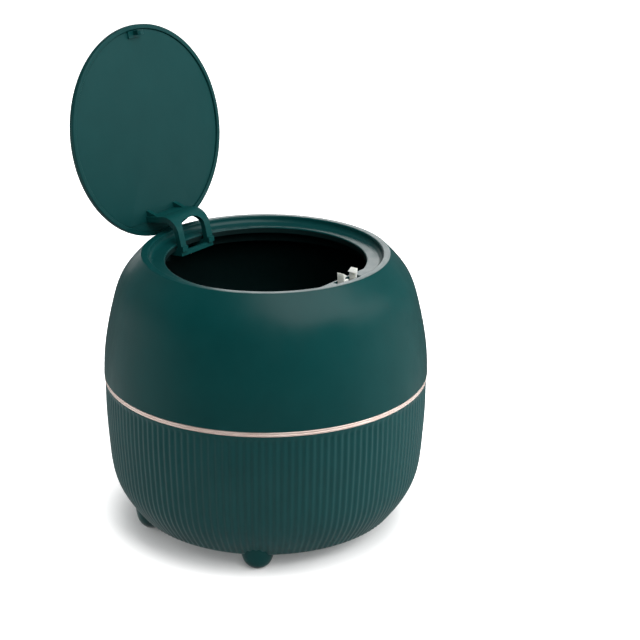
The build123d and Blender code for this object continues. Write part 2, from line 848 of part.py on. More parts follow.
def make_latch_slider():
    low, high = slider_span()
    half = slider_width / 2
    slider = block((-half, half), (low, high), (latch_z(-slider_bottom_drop), latch_z(-slider_block_drop)))
    cheek_z = (latch_z(-slider_block_drop - 0.5), latch_z(-cheek_drop))
    slider += block((-half, half), (high - cheek_front, high), cheek_z)
    slider += block((-half, half), (low, low + cheek_back), cheek_z)
    hub_y = (high - cheek_front - hub_depth + 0.4, high - cheek_front + 0.4)
    hub_z = (latch_z(-slider_block_drop - 0.5), latch_z(hub_rise))
    slider += block((-hub_width / 2, hub_width / 2), hub_y, hub_z)
    pin_hole = cross_rod(jaw_pin_radius, low - 1, high + 1, jaw_pivot_x, latch_z(-jaw_pivot_drop))
    for hole in both_sides(pin_hole):
        slider -= hole
    # Heart-shaped track on the back, and the pocket of the spring underneath
    tip = latch_z(-cam_tip_drop)
    track_low = tip - cam_wire_radius - guide_clearance
    track_high = tip + latch_travel + cam_wire_radius + guide_clearance
    track_x = (-track_half_width, track_half_width)
    track = block(track_x, (low - 1, low + track_depth), (track_low, track_high))
    middle = (track_low + track_high) / 2
    island = track_island_half_width
    heart_outline = [
        (0, middle - 2.0),
        (-island, middle - 0.6),
        (-island, middle + 1.9),
        (0, middle + 1.2),
        (island, middle + 1.9),
        (island, middle - 0.6),
    ]
    heart = front_plate(heart_outline, low, low + track_depth)
    slider = slider - track + heart
    return slider - rod(
        latch_spring_radius + latch_spring_wire_radius + latch_spring_clearance,
        latch_z(-slider_bottom_drop) - 1,
        latch_z(-latch_spring_pocket_drop),
        0,
        latch_spring_y(),
    )


def latch_spring_y():
    low, high = slider_span()
    return (low + track_depth + high) / 2


def housing_floor_top():
    return latch_z(-slider_bottom_drop) - latch_travel - housing_end_gap


def make_latch_spring():
    length = latch_z(-latch_spring_pocket_drop) - housing_floor_top() - 2 * latch_spring_wire_radius
    pitch = length / latch_spring_turns
    winding = coil(latch_spring_radius, latch_spring_wire_radius, pitch, latch_spring_turns)
    return Pos(0, latch_spring_y(), housing_floor_top() + latch_spring_wire_radius) * winding


def make_latch_housing():
    """Open-topped cartridge, narrow round the slider and wide where the jaws splay."""
    half = housing_width / 2
    bottom = housing_floor_top() - housing_floor
    front = platform_y - 0.1
    low, high = slider_span()
    housing = block((-half, half), (housing_back_y, front), (bottom, ledge_bottom))
    inner_y = (housing_back_y + housing_wall, front - housing_wall)
    guide = slider_width / 2 + guide_clearance
    housing -= block((-guide, guide), inner_y, (housing_floor_top(), ledge_bottom + 1))
    splay = half - housing_wall
    housing -= block((-splay, splay), inner_y, (latch_z(-4.4), ledge_bottom + 1))
    # Rails behind the slider leave a channel for the cam wire
    rail_inner = track_half_width + 1.0
    rail_z = (housing_floor_top() - 0.2, latch_z(-cheek_drop - 0.5))
    for rail in both_sides(block((rail_inner, guide + 0.2), (housing_back_y + 0.2, low - 0.15), rail_z)):
        housing += rail
    ear_top = ledge_bottom - latch_boss_depth
    ear = block(
        (half - 0.2, half + ear_length),
        (latch_screw_y - 1.5, latch_screw_y + latch_boss_radius),
        (ear_top - ear_thickness, ear_top),
    )
    ear -= rod(latch_screw_radius + 0.3, ear_top - 5, ear_top + 1, latch_screw_x, latch_screw_y)
    for copy in both_sides(ear):
        housing += copy
    wire_x, wire_y = cam_wire_place()
    return housing - rod(cam_wire_radius, bottom - 1, housing_floor_top() + 1, wire_x, wire_y)


def cam_wire_place():
    low, _ = slider_span()
    x = -(track_half_width + track_island_half_width) / 2
    y = (low + housing_back_y + housing_wall) / 2
    return x, y


def make_latch_cam_pin():
    """Bent wire: it stands in the housing's floor and its tip rides in the slider's track."""
    low, _ = slider_span()
    x, y = cam_wire_place()
    tip_z = latch_z(-cam_tip_drop)
    upright = rod(cam_wire_radius, housing_floor_top() - housing_floor, tip_z, x, y)
    tip = cross_rod(cam_wire_radius, y, low + track_depth - 0.15, x, tip_z)
    return upright + tip + Pos(x, y, tip_z) * Sphere(cam_wire_radius)


def make_latch_screws():
    top = ledge_bottom - latch_boss_depth - ear_thickness
    core = rod(latch_screw_radius, top, top + latch_screw_length, latch_screw_x, latch_screw_y)
    head = rod(latch_screw_head_radius, top - latch_screw_head_height, top, latch_screw_x, latch_screw_y)
    return Compound(children=both_sides(core + head))


save("lower_bucket", make_lower_bucket())
save("foot_pads", make_foot_pads())
save("trim_ring", make_trim_ring())
save("upper_shell", make_upper_shell())
save("seat_ring", make_seat_ring())
save("seat_ring_screws", make_seat_ring_screws())
save("lid_cover", shut_to_open(make_lid_cover()))
save("lid_inner_panel", shut_to_open(make_lid_inner_panel()))
save("hinge_bracket", shut_to_open(make_hinge_bracket()))
save("bracket_screws", shut_to_open(make_bracket_screws()))
save("striker", shut_to_open(make_striker()))
save("hinge_pin", make_hinge_pin())
save("pin_retainer", make_pin_retainer())
save("hinge_spring", make_hinge_spring())
save("latch_housing", make_latch_housing())
save("latch_slider", make_latch_slider())
save("jaw_right", make_jaw())
save("jaw_left", mirror(make_jaw(), about=Plane.YZ))
save("jaw_pins", make_jaw_pins())
save("latch_spring", make_latch_spring())
save("latch_cam_pin", make_latch_cam_pin())
save("latch_screws", make_latch_screws())
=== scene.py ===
import json
import math

import bmesh
import bpy
import numpy as np
from mathutils import Matrix, Vector

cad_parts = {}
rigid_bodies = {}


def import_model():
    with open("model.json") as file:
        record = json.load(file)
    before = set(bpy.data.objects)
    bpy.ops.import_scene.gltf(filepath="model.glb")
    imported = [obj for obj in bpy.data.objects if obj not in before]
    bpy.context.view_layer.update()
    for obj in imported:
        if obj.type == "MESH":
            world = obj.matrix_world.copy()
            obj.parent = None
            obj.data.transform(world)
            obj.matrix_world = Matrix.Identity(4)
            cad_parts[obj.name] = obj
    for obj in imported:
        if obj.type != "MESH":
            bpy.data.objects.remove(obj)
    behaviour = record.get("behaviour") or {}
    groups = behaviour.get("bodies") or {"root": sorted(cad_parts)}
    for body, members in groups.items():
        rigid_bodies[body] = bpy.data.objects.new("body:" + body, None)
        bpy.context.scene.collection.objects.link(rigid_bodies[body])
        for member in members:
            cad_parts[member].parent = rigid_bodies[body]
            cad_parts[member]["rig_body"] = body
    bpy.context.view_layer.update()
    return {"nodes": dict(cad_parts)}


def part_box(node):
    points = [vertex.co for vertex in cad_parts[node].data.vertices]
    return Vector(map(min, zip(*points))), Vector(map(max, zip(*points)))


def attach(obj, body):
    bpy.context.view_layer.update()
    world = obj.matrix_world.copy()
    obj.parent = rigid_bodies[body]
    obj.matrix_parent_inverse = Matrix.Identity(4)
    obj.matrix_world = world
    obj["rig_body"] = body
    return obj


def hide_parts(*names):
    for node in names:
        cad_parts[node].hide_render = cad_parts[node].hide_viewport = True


# A push-top countertop bin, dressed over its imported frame. The hinge is on the +Y side, the
# latch on the -Y side, and the lid stands open. Sizes are in millimetres and angles in degrees
# unless a comment says otherwise. An outline is a run of (radius, height) points.

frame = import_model()

MM = 0.001


def corners_mm(node):
    """Lowest and highest corner of a CAD node in millimetres."""
    low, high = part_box(node)
    return low / MM, high / MM


# Sizes that come from the frame
band_low, band_high = corners_mm("trim_ring")
shell_high = corners_mm("upper_shell")[1]
spigot_top = corners_mm("lower_bucket")[1].z
pad_top = corners_mm("foot_pads")[1].z
body_radius = shell_high.x
rim_top = shell_high.z
band_bottom = band_low.z
band_top = band_high.z
band_radius = band_high.x

# Sizes that repeat the CAD's driving dimensions. A bulge is a run of (share of the height,
# share of the change in radius) points.
foot_height = 8.5
bottom_radius = 68.8
lip_radius = 64.3
wall = 2.2
floor_thickness = 2.4
bucket_bulge = ((0.254, 0.73), (0.508, 0.92), (0.762, 0.99))
shell_bulge = ((0.186, 0.03), (0.389, 0.123), (0.593, 0.264), (0.796, 0.482))
seam_chamfer = 0.4
recess_radius = 60.9
recess_depth = 3.7
recess_wall_depth = 5.2
cove_round = 2.7
cove_land = 0.3
seat_clearance = 0.15
spigot_setback = 2.9
spigot_wall = 1.8
spigot_clearance = 0.4
foot_angle = 35.0
foot_circle_radius = 63.0
foot_tip_radius = 4.2
foot_shank_radius = 8.5
foot_root_radius = 9.3
pad_radius = 3.2
pad_stand_out = 0.4
lid_radius = 56.0
lid_thickness = 3.2
lid_gap = 0.3
cover_skin = 1.0
cover_rim_width = 2.4
panel_sink = 0.8
panel_clearance = 0.2
fold_distance = 47.0
rim_fold_angle = 12.0
panel_fold_angle = 5.0
panel_fold_step = 0.4
hinge_y = 62.1
hinge_below_ledge = 5.5
lid_open_angle = 100.6

ledge_top = rim_top - recess_depth
cove_radius = recess_radius - seat_clearance - cove_land
lid_face_z = ledge_top + lid_gap
hinge_z = ledge_top - hinge_below_ledge

# Finish of the bucket: its ribs, the flat under it, the inside darkened as painted shade and the
# spigot's edge
rib_count = 144
rib_depth = 0.5
rib_start_drop = 1.3
rib_fade = 1.1
steps_per_rib = 8
underside_radius = bottom_radius * 0.55
bottom_edge_inset = 0.8
inside_top_drop = 6.0
spigot_root_drop = 5.0
spigot_edge_round = 0.4
floor_edge_inset = 0.6

# Finish of the feet: the tip's flare, the shank's and the root's heights, and the pad's hollow
foot_tip_flare = 2.1
foot_tip_rise = 1.9
foot_shank_drop = 0.4
foot_root_rise = 5.0
foot_face_width = 0.3
foot_face_lift = 0.1
pad_hollow_depth = 0.15
pad_hollow_radius = pad_radius * 0.55
pad_land_radius = pad_radius * 0.62
pad_edge_round = 0.25

# Finish of the band: a crest with a shallow groove round its middle
band_overlap = 0.05
band_crest = 0.3
band_edge = 0.25
band_edge_round = 0.2
groove_depth = 0.35
groove_share = 0.2
groove_lip_round = 0.15
groove_round = 0.1

# Finish of the dome: the lip's roundings, and how its skin meets the seat ring's cove
lip_round = 0.86
lip_outer_round = 0.7
lip_skin_share = 0.8
lip_edge_inset = 0.05
cove_overlap = 0.02
cove_joint_rise = 0.12
recess_foot_round = 0.2
bore_top_rise = 1.0
bore_blend = 2.0

# Finish of the lid: its edges, and the lines cut on both sides of its crease
lid_round = 0.9
lid_face_round = 0.5
lid_inner_round = 0.35
lid_crown_width = 6.0
panel_round = 0.3
skin_overlap = 0.02
fold_crease_round = 0.2
fold_flank_before = 0.3
fold_flank_after = 0.35
fold_step_run = 0.05
fold_lip_share = 0.6
on_fold = 0.01
cut_tolerance = 1e-5

# Finish of the CAD's own pieces: how far down the painted shade inside the mouth starts, and the
# angle under which neighbouring faces are one
painted_shade_drop = 0.9
flat_angle = 0.5
bevel_segments = 2

# Points closer than these are one, on the pieces made here and on the CAD's own
same_point = 0.001
same_cad_point = 0.002


# Outlines
def smooth_curve(points, samples):
    """Natural cubic spline through (radius, height) points, as evenly spread samples."""
    given = np.array(points, float)
    steps = np.hypot(*np.diff(given, axis=0).T)
    count = len(given)
    system = np.eye(count)
    right = np.zeros((count, 2))
    for k in range(1, count - 1):
        before, after = steps[k - 1], steps[k]
        system[k, k - 1 : k + 2] = before, 2 * (before + after), after
        right[k] = 6 * ((given[k + 1] - given[k]) / after - (given[k] - given[k - 1]) / before)
    bend = np.linalg.solve(system, right)
    starts = np.concatenate([[0], np.cumsum(steps)])
    curve = []
    for t in np.linspace(0, starts[-1], samples):
        k = min(int(np.searchsorted(starts, t, "right")) - 1, count - 2)
        step = steps[k]
        b = (t - starts[k]) / step
        a = 1 - b
        point = a * given[k] + b * given[k + 1]
        point += ((a**3 - a) * bend[k] + (b**3 - b) * bend[k + 1]) * step**2 / 6
        curve.append((float(point[0]), float(point[1])))
    return curve


def swelling(low, high, shares, samples):
    """Curve from one (radius, height) to another that bulges by the given shares."""
    rise = high[1] - low[1]
    change = high[0] - low[0]
    between = [(low[0] + change * out, low[1] + rise * up) for up, out in shares]
    return smooth_curve([low, *between, high], samples)


def inset(curve, depth):
    """The curve moved inwards along its normal."""
    points = np.array(curve)
    along = np.gradient(points, axis=0)
    along /= np.hypot(*along.T)[:, None]
    moved = points + depth * np.stack([-along[:, 1], along[:, 0]], 1)
    return [tuple(p) for p in moved]


def between_heights(curve, low, high):
    """The curve's points between two heights."""
    return [p for p in curve if low < p[1] < high]


def rounded(corners, steps=4):
    """Outline from (radius, height, rounding) corners, each rounded corner as an arc."""
    outline = []
    for k, (r, z, size) in enumerate(corners):
        here = Vector((r, z))
        if size <= 0 or k in (0, len(corners) - 1):
            outline.append((r, z))
            continue
        back = (Vector(corners[k - 1][:2]) - here).normalized()
        ahead = (Vector(corners[k + 1][:2]) - here).normalized()
        half = back.angle(ahead) / 2
        reach = size / math.tan(half)
        centre = here + (back + ahead).normalized() * size / math.sin(half)
        start = here + back * reach - centre
        end = here + ahead * reach - centre
        for s in range(steps + 1):
            share = s / steps
            spoke = (start * (1 - share) + end * share).normalized() * size
            outline.append(tuple(centre + spoke))
    return outline


# Meshes
def add_piece(name, verts, faces, material, body, sharp=40.0):
    """Mesh object from millimetre points, shaded smooth except across sharp edges."""
    mesh = bpy.data.meshes.new(name)
    mesh.from_pydata([Vector(v) * MM for v in verts], [], faces)
    piece = bpy.data.objects.new(name, mesh)
    bpy.context.scene.collection.objects.link(piece)
    mesh.materials.append(material)
    shade(mesh, sharp)
    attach(piece, body)
    return piece


def shade(mesh, sharp):
    """Smooth shading with the edges over an angle left sharp."""
    bm = bmesh.new()
    bm.from_mesh(mesh)
    bmesh.ops.remove_doubles(bm, verts=bm.verts, dist=same_point * MM)
    bmesh.ops.recalc_face_normals(bm, faces=bm.faces)
    limit = math.radians(sharp)
    for face in bm.faces:
        face.smooth = True
    for edge in bm.edges:
        edge.smooth = len(edge.link_faces) == 2 and edge.calc_face_angle(0.0) < limit
    bm.to_mesh(mesh)
    bm.free()


def turned_mesh(outline, segments, closed=False, centre=(0.0, 0.0), shape=None):
    """Points and faces of an outline turned about an upright axis."""
    verts = []
    for k in range(segments):
        angle = 2 * math.pi * k / segments
        across, along = math.cos(angle), math.sin(angle)
        for r, z in outline:
            radius = shape(angle, r, z) if shape else r
            verts.append((centre[0] + radius * across, centre[1] + radius * along, z))
    rows = len(outline)
    spans = rows if closed else rows - 1
    faces = []
    for k in range(segments):
        here, there = k * rows, (k + 1) % segments * rows
        for row in range(spans):
            above = (row + 1) % rows
            faces.append((here + row, there + row, there + above, here + above))
    return verts, faces


def turned(name, outline, material, body, slot, **turning):
    """Piece made by turning an outline about an upright axis."""
    verts, faces = turned_mesh(outline, **turning)
    return add_piece(name, verts, faces, material, body)


def softened(node, material, bevel, sharp=28.0, painted_shade_material=None):
    """Copy of a CAD node with its edges rounded over, which stands for the node.

    Where a painted-shade material is given, the faces under the ledge's top surface take it, as
    painted shade down the mouth.
    """
    source = frame["nodes"][node]
    mesh = source.data.copy()
    bm = bmesh.new()
    bm.from_mesh(mesh)
    bmesh.ops.remove_doubles(bm, verts=bm.verts, dist=same_cad_point * MM)
    flat = math.radians(flat_angle)
    bmesh.ops.dissolve_limit(bm, angle_limit=flat, verts=bm.verts, edges=bm.edges)
    bm.to_mesh(mesh)
    bm.free()
    shade(mesh, sharp)
    mesh.materials.clear()
    mesh.materials.append(material)
    # Faces low in the mouth take the painted shade
    if painted_shade_material:
        mesh.materials.append(painted_shade_material)
        for face in mesh.polygons:
            face.material_index = int(face.center.z < (ledge_top - painted_shade_drop) * MM)
    piece = bpy.data.objects.new(node + "_finished", mesh)
    bpy.context.scene.collection.objects.link(piece)
    edge = piece.modifiers.new("edge", "BEVEL")
    edge.width = bevel * MM
    edge.segments = bevel_segments
    edge.limit_method = "ANGLE"
    edge.angle_limit = math.radians(sharp)
    edge.harden_normals = True
    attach(piece, source["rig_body"])
    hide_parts(node)
    return piece


# Materials. A noise's scale is cycles per metre, and most of its values lie in this range.
noise_range = (0.3, 0.7)


def new_material(name):
    """Material with its node tree and shader."""
    material = bpy.data.materials.new(name)
    material.use_nodes = True
    tree = material.node_tree
    return material, tree, tree.nodes["Principled BSDF"]


def noise(tree, scale, detail, roughness=0.55, stretch=None):
    """Noise over the object's own coordinates."""
    place = tree.nodes.new("ShaderNodeTexCoord")
    source = place.outputs["Object"]
    if stretch:
        mapping = tree.nodes.new("ShaderNodeMapping")
        mapping.inputs["Scale"].default_value = stretch
        tree.links.new(source, mapping.inputs["Vector"])
        source = mapping.outputs["Vector"]
    texture = tree.nodes.new("ShaderNodeTexNoise")
    texture.inputs["Scale"].default_value = scale
    texture.inputs["Detail"].default_value = detail
    texture.inputs["Roughness"].default_value = roughness
    tree.links.new(source, texture.inputs["Vector"])
    return texture.outputs["Fac"]


def ranged(tree, value, given, wanted, easing="SMOOTHSTEP"):
    """The value's given range brought over to the wanted one."""
    node = tree.nodes.new("ShaderNodeMapRange")
    node.interpolation_type = easing
    node.inputs["From Min"].default_value, node.inputs["From Max"].default_value = given
    node.inputs["To Min"].default_value, node.inputs["To Max"].default_value = wanted
    tree.links.new(value, node.inputs["Value"])
    return node.outputs["Result"]


def tint(tree, value, dark, light):
    """Colour that runs from dark to light over a noise's range."""
    ramp = tree.nodes.new("ShaderNodeValToRGB")
    ends = ramp.color_ramp.elements
    for end, position, colour in zip(ends, noise_range, (dark, light)):
        end.position = position
        end.color = (*colour, 1)
    tree.links.new(value, ramp.inputs["Fac"])
    return ramp.outputs["Color"]


def varied(tree, shader, colour_noise, dark, light, rough_noise, rough):
    """Colour and roughness that each follow a noise."""
    colour = tint(tree, colour_noise, dark, light)
    tree.links.new(colour, shader.inputs["Base Color"])
    roughness = ranged(tree, rough_noise, noise_range, rough, "LINEAR")
    tree.links.new(roughness, shader.inputs["Roughness"])


def bump(tree, shader, value, distance, strength):
    """Bump of a distance in millimetres that follows a value."""
    node = tree.nodes.new("ShaderNodeBump")
    node.inputs["Distance"].default_value = distance * MM
    node.inputs["Strength"].default_value = strength
    tree.links.new(value, node.inputs["Height"])
    tree.links.new(node.outputs["Normal"], shader.inputs["Normal"])


def moulded(name, dark, light, rough, specular=0.5, grain=0.04):
    """Matt moulded plastic: spark-eroded grain, faint cloudiness and rubbing."""
    material, tree, shader = new_material(name)
    cloud = noise(tree, 60.0, detail=5.0)
    rubbing = noise(tree, 160.0, detail=6.0, roughness=0.65, stretch=(1.0, 1.0, 0.35))
    varied(tree, shader, cloud, dark, light, rubbing, rough)
    shader.inputs["Specular IOR Level"].default_value = specular
    bump(tree, shader, noise(tree, 2600.0, detail=2.0), distance=grain, strength=0.5)
    return material


def plated(name, dark, light, rough, metallic=1.0):
    """Bright metal drawn round the axis, with fine lines and slight haze."""
    material, tree, shader = new_material(name)
    haze = noise(tree, 90.0, detail=4.0)
    lines = noise(tree, 900.0, detail=3.0, roughness=0.6, stretch=(0.12, 0.12, 3.0))
    varied(tree, shader, haze, dark, light, lines, rough)
    shader.inputs["Metallic"].default_value = metallic
    bump(tree, shader, lines, distance=0.01, strength=0.25)
    return material


def milky(name, dark, light, rough):
    """Natural, slightly see-through plastic."""
    material, tree, shader = new_material(name)
    cloud = noise(tree, 420.0, detail=3.0)
    haze = noise(tree, 900.0, detail=4.0)
    varied(tree, shader, cloud, dark, light, haze, rough)
    shader.inputs["Subsurface Weight"].default_value = 0.45
    shader.inputs["Subsurface Radius"].default_value = (0.004, 0.004, 0.0035)
    shader.inputs["Subsurface Scale"].default_value = 0.6
    shader.inputs["IOR"].default_value = 1.5
    bump(tree, shader, noise(tree, 1500.0, detail=2.0), distance=0.02, strength=0.35)
    return material


teal = moulded(
    "teal_plastic", (0.0018, 0.038, 0.038), (0.0022, 0.042, 0.042), (0.28, 0.38), 0.17
)
# Lighter copy of the teal plastic, painted light on the ribbed bucket
teal_ribs_painted_light = moulded(
    "teal_ribs_painted_light", (0.0025, 0.046, 0.047), (0.0031, 0.05, 0.051), (0.32, 0.42), 0.3
)
# Darker copy of the teal plastic, painted shade on the lid
teal_lid_painted_shade = moulded(
    "teal_lid_painted_shade", (0.0018, 0.034, 0.034), (0.0022, 0.037, 0.037), (0.4, 0.52), 0.14
)
teal_ledge = moulded(
    "teal_ledge", (0.0018, 0.036, 0.036), (0.0022, 0.04, 0.04), (0.3, 0.38), 0.2, 0.015
)
# Lighter copy of the teal plastic, painted light on the hinge bracket's faces
teal_hinge_painted_light = moulded(
    "teal_hinge_painted_light", (0.002, 0.043, 0.042), (0.0024, 0.047, 0.046), (0.38, 0.46), 0.12, 0.015
)
# Near-black teal: painted shade for the insides of the bucket, the dome and the seat ring
teal_inside_painted_shade = moulded(
    "teal_inside_painted_shade", (0.002, 0.009, 0.009), (0.003, 0.013, 0.013), (0.55, 0.7), 0.15
)
latch_dark = moulded("latch_dark", (0.004, 0.006, 0.006), (0.007, 0.01, 0.01), (0.45, 0.6))
rubber = moulded(
    "pad_rubber", (0.01, 0.01, 0.01), (0.018, 0.018, 0.018), (0.7, 0.85), 0.3, 0.08
)
rose_gold = plated("rose_gold", (0.9, 0.7, 0.62), (0.97, 0.82, 0.75), (0.1, 0.24), 0.5)
steel = plated("bright_steel", (0.45, 0.45, 0.45), (0.62, 0.62, 0.61), (0.2, 0.36))
latch_white = milky("latch_white", (0.62, 0.64, 0.6), (0.76, 0.77, 0.73), (0.22, 0.42))


# Lower half
bucket_foot = (bottom_radius, foot_height)
bucket_shoulder = (band_radius, band_bottom - seam_chamfer)
bucket_outer = swelling(bucket_foot, bucket_shoulder, bucket_bulge, samples=64)


def ribbed(angle, r, z):
    """Radius of the ribbed wall: full on a rib's crest, cut back between, plain at both ends."""
    start = min(max((band_bottom - rib_start_drop - z) / rib_fade, 0.0), 1.0)
    end = min(max((z - foot_height) / rib_fade, 0.0), 1.0)
    fade = start * start * (3 - 2 * start) * end
    between = 0.5 - 0.5 * math.cos(rib_count * angle)
    return r - rib_depth * fade * between


def build_bucket():
    """Ribbed wall, the flat between the feet, and the inside with its floor and spigot, darkened
    as painted shade.
    """
    spigot_outer = body_radius - spigot_setback
    spigot_inner = spigot_outer - spigot_wall
    floor_top = foot_height + floor_thickness
    outside = [
        (underside_radius, foot_height),
        (bottom_radius - bottom_edge_inset, foot_height),
        *bucket_outer[1:],
        (band_radius - seam_chamfer, band_bottom),
        (spigot_outer, band_bottom),
    ]
    # The ribbed wall takes the lighter copy of the teal, as painted light
    skin = turned(
        "bucket_outside", outside, teal_ribs_painted_light, "base", "body",
        segments=rib_count * steps_per_rib, shape=ribbed,
    )
    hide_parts("lower_bucket")
    middle = [(0.0, foot_height), (underside_radius, foot_height)]
    underside = turned("bucket_underside", middle, teal, "base", "body", segments=96)
    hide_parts("lower_bucket")
    inner_wall = between_heights(
        inset(bucket_outer, wall), floor_top, band_bottom - inside_top_drop
    )
    inside = rounded(
        [
            (spigot_outer, band_bottom, 0),
            (spigot_outer, spigot_top, spigot_edge_round),
            (spigot_inner, spigot_top, spigot_edge_round),
            (spigot_inner, band_bottom - spigot_root_drop, 0),
        ]
    )
    inside += inner_wall[::-1]
    inside += [(inner_wall[0][0] - floor_edge_inset, floor_top), (0.0, floor_top)]
    # The inside, with its floor and spigot, takes the near-black teal as painted shade
    shaded_inside = turned("bucket_inside", inside, teal_inside_painted_shade, "base", "body", segments=192)
    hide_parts("lower_bucket")


def build_feet():
    """Four stub feet that grow out of the bucket, each with a hollowed pad."""
    side = smooth_curve(
        [
            (foot_tip_radius, pad_stand_out),
            (foot_tip_radius + foot_tip_flare, pad_stand_out + foot_tip_rise),
            (foot_shank_radius, foot_height - foot_shank_drop),
            (foot_root_radius, foot_height + foot_root_rise),
        ],
        samples=24,
    )
    foot_outline = [
        (pad_radius, pad_stand_out + foot_face_lift),
        (pad_radius + foot_face_width, pad_stand_out),
        *side,
    ]
    pad_outline = rounded(
        [
            (0.0, pad_hollow_depth, 0),
            (pad_hollow_radius, pad_hollow_depth, 0),
            (pad_land_radius, 0.0, 0),
            (pad_radius, 0.0, pad_edge_round),
            (pad_radius, pad_top, 0),
        ]
    )
    for name, angle in (
        ("foot_hinge_right", foot_angle),
        ("foot_hinge_left", 180 - foot_angle),
        ("foot_latch_left", 180 + foot_angle),
        ("foot_latch_right", -foot_angle),
    ):
        turn = math.radians(angle)
        centre = (foot_circle_radius * math.cos(turn), foot_circle_radius * math.sin(turn))
        foot = turned(name, foot_outline, teal, "base", "body", segments=64, centre=centre)
        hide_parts("lower_bucket")
        pad_name = name + "_pad"
        pad = turned(pad_name, pad_outline, rubber, "base", "pad", segments=48, centre=centre)
        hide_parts("foot_pads")


def build_band():
    """Rose gold band in the seam between the halves."""
    inner = body_radius - spigot_setback + band_overlap
    middle = (band_bottom + band_top) / 2
    half = (band_top - band_bottom) / 2
    crest = band_radius + band_crest
    outline = rounded(
        [
            (inner, band_bottom, 0),
            (crest - band_edge, band_bottom, 0),
            (crest, band_bottom + band_edge, band_edge_round),
            (crest, middle - half * groove_share, groove_lip_round),
            (crest - groove_depth, middle, groove_round),
            (crest, middle + half * groove_share, groove_lip_round),
            (crest, band_top - band_edge, band_edge_round),
            (crest - band_edge, band_top, 0),
            (inner, band_top, 0),
        ]
    )
    band = turned(
        "rose_gold_band", outline, rose_gold, "base", "band", segments=360, closed=True
    )
    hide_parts("trim_ring")


# Upper half
shell_foot = (body_radius, band_top + seam_chamfer)
shell_outer = swelling(shell_foot, (lip_radius, rim_top), shell_bulge, samples=96)


def build_dome():
    """Smooth dome with the rounded lip round its sunk mouth, and its inside darkened as painted
    shade.
    """
    foot = (body_radius - seam_chamfer, band_top)
    recess_foot = rim_top - recess_wall_depth
    recess_outer = (recess_radius + wall, recess_foot)
    joint_z = ledge_top + cove_round + cove_joint_rise
    mouth = cove_radius + cove_overlap
    skin_top = rim_top - lip_outer_round * lip_skin_share
    dome = [p for p in shell_outer if p[1] < skin_top]
    edge = rounded(
        [
            (*dome[-1], 0),
            (lip_radius - lip_edge_inset, rim_top, lip_outer_round),
            (mouth, rim_top, lip_round),
            (mouth, joint_z, 0),
            (recess_radius, joint_z, 0),
            (recess_radius, recess_foot, recess_foot_round),
            (*recess_outer, 0),
        ],
        steps=5,
    )
    outline = [foot, *dome, *edge[1:]]
    outside = turned("dome_outside", outline, teal, "cover", "body", segments=288)
    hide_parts("upper_shell")
    bore = body_radius - spigot_setback + spigot_clearance
    bore_top = spigot_top + bore_top_rise
    inner = between_heights(inset(shell_outer, wall), bore_top + bore_blend, rim_top - wall)
    inner_outline = [foot, (bore, band_top), (bore, bore_top), *inner, recess_outer]
    # The dome's inside takes the near-black teal as painted shade
    inside = turned("dome_inside", inner_outline, teal_inside_painted_shade, "cover", "body", segments=192)
    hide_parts("upper_shell")


# Lid, made shut and then swung open
open_turn = (
    Matrix.Translation(Vector((0, hinge_y, hinge_z)))
    @ Matrix.Rotation(math.radians(-lid_open_angle), 4, "X")
    @ Matrix.Translation(Vector((0, -hinge_y, -hinge_z)))
)


def folded(verts, faces, face_z, step, angle):
    """Crease across the shut lid's underside, past which it steps up and slopes to the hinge.

    The points come back swung open.
    """
    bm = bmesh.new()
    points = [bm.verts.new(v) for v in verts]
    for face in faces:
        bm.faces.new([points[k] for k in face])
    bmesh.ops.remove_doubles(bm, verts=bm.verts, dist=same_point)
    rounding = fold_crease_round
    for y in (-rounding - fold_flank_before, -rounding, 0.0, fold_step_run, fold_flank_after):
        everything = bm.verts[:] + bm.edges[:] + bm.faces[:]
        line = (0, fold_distance + y, 0)
        bmesh.ops.bisect_plane(
            bm, geom=everything, dist=cut_tolerance, plane_co=line, plane_no=(0, 1, 0)
        )
    slope = math.tan(math.radians(angle))
    lip_z = face_z + min(rounding, step) * fold_lip_share
    for vert in bm.verts:
        past = vert.co.y - fold_distance
        if past > on_fold:
            vert.co.z = max(vert.co.z, face_z + step + past * slope)
        elif past > -on_fold:
            vert.co.z = max(vert.co.z, lip_z)
    bm.verts.index_update()
    verts = [open_turn @ vert.co for vert in bm.verts]
    faces = [[vert.index for vert in face.verts] for face in bm.faces]
    bm.free()
    return verts, faces


def lid_disc(name, node, outline, face_z, step, angle):
    """One of the lid's two discs, creased near the hinge."""
    turned_disc = turned_mesh(outline, segments=256)
    verts, faces = folded(*turned_disc, face_z, step, angle)
    # Both discs take the darker copy of the teal, as painted shade
    disc = add_piece(name, verts, faces, teal_lid_painted_shade, "lid", sharp=35.0)
    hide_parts(node)


def build_lid():
    """Outer disc with a rim, and the inner disc sunk inside it."""
    top = lid_face_z + lid_thickness
    skin_bottom = top - cover_skin
    rim_inner = lid_radius - cover_rim_width
    cover_outline = rounded(
        [
            (0.0, skin_bottom, 0),
            (rim_inner, skin_bottom, 0),
            (rim_inner, lid_face_z, lid_inner_round),
            (lid_radius, lid_face_z, lid_face_round),
            (lid_radius, top, lid_round),
            (lid_radius - lid_crown_width, top, 0),
            (0.0, top, 0),
        ],
        steps=5,
    )
    lid_disc("lid_outer_disc", "lid_cover", cover_outline, lid_face_z, 0.0, rim_fold_angle)
    panel_z = lid_face_z + panel_sink
    panel_edge = rim_inner - panel_clearance
    panel_outline = rounded(
        [
            (0.0, skin_bottom - skin_overlap, 0),
            (panel_edge, skin_bottom - skin_overlap, 0),
            (panel_edge, panel_z, panel_round),
            (0.0, panel_z, 0),
        ]
    )
    lid_disc(
        "lid_inner_disc", "lid_inner_panel", panel_outline, panel_z, panel_fold_step,
        panel_fold_angle,
    )


